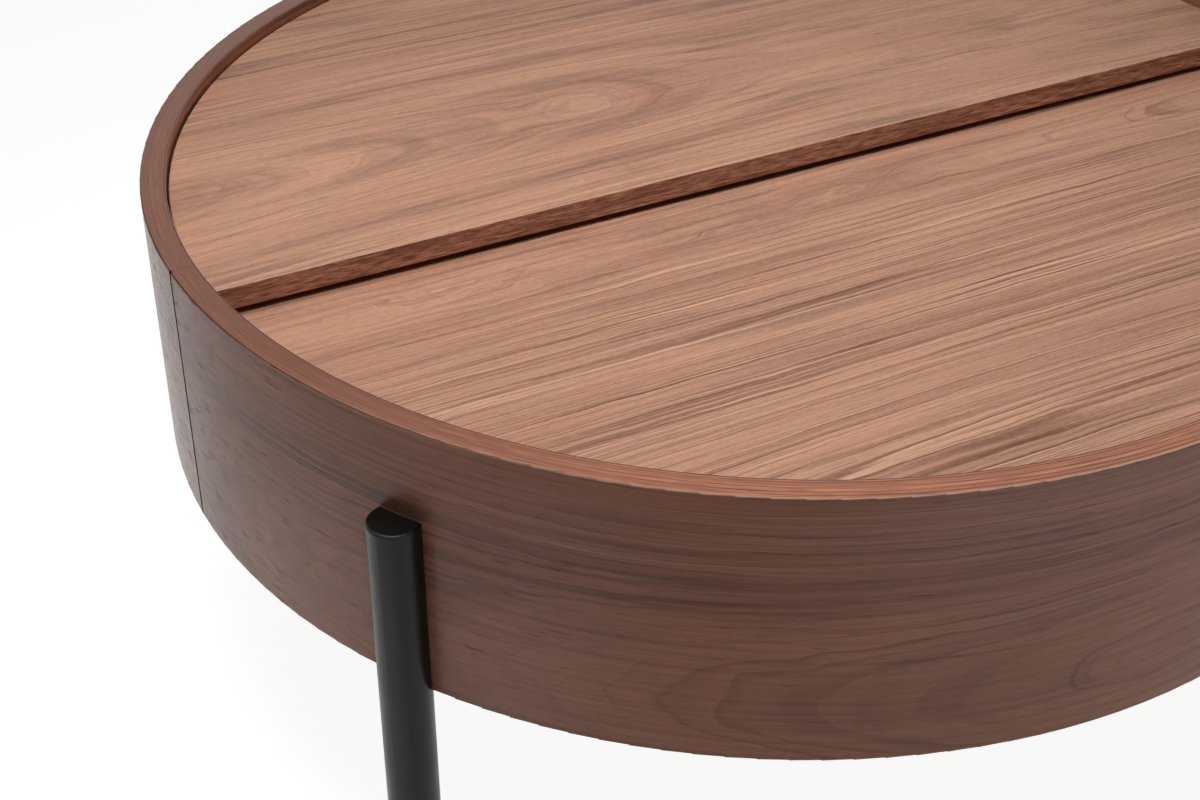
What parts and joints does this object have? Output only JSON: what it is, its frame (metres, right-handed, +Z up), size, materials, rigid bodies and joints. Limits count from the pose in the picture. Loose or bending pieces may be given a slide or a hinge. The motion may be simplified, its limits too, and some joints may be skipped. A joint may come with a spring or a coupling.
{
  "type": "swivel coffee table",
  "caption": "Round walnut drum coffee table on black steel legs, with a half lid that swivels over a lower fixed half lid to open the storage inside.",
  "frame": {"origin": "on the floor, on the drum's axis, which is also the lid's swivel axis", "axes": "+Z up; X along the lids' straight edges; -Y to the front, where the fixed lower lid is"},
  "size_m": [0.8, 0.82, 0.36],
  "materials": {
    "walnut_drum": "satin lacquered walnut veneer on bent laminated wood",
    "walnut_lid": "matt lacquered walnut veneer on board",
    "walnut_lipping": "matt lacquered solid walnut",
    "base_board": "walnut veneered board",
    "beech": "plain solid beech",
    "zinc_steel": "zinc plated steel",
    "bush_brass": "turned brass",
    "nylon": "moulded nylon",
    "black_steel": "satin black powder coat"
  },
  "bodies": {
    "table": {"front_shell": "walnut_drum", "rear_shell": "walnut_drum", "base_panel": "base_board", "splice_block_left": "beech", "splice_block_right": "beech", "centre_rail": "beech", "front_cleat": "beech", "rear_ledge": "beech", "seam_dowels": "beech", "lower_lid": "walnut_lid", "lower_lid_lipping": "walnut_lipping", "splice_screws": "zinc_steel", "rail_screws": "zinc_steel", "front_cleat_screws": "zinc_steel", "rear_ledge_screws": "zinc_steel", "lower_lid_screws": "zinc_steel", "leg_bolts": "zinc_steel", "leg_washers": "zinc_steel", "leg_weld_nuts": "zinc_steel", "pivot_bush": "bush_brass", "thrust_washer": "nylon", "foot_front_left": "nylon", "foot_front_right": "nylon", "foot_rear": "nylon", "leg_front_left": "black_steel", "leg_front_right": "black_steel", "leg_rear": "black_steel"},
    "swivel_lid": {"upper_lid": "walnut_lid", "upper_lid_lipping": "walnut_lipping", "lid_glides": "nylon", "pivot_plate": "zinc_steel", "plate_screws": "zinc_steel", "pivot_pin": "zinc_steel", "pivot_washer": "zinc_steel", "pivot_lock_nut": "zinc_steel"}
  },
  "joints": [
    {"name": "lid_swivel", "type": "hinge", "parent": "table", "child": "swivel_lid", "pos_m": [0, 0, 0.337], "axis": [0, 0, 1], "continuous": true}
  ]
}
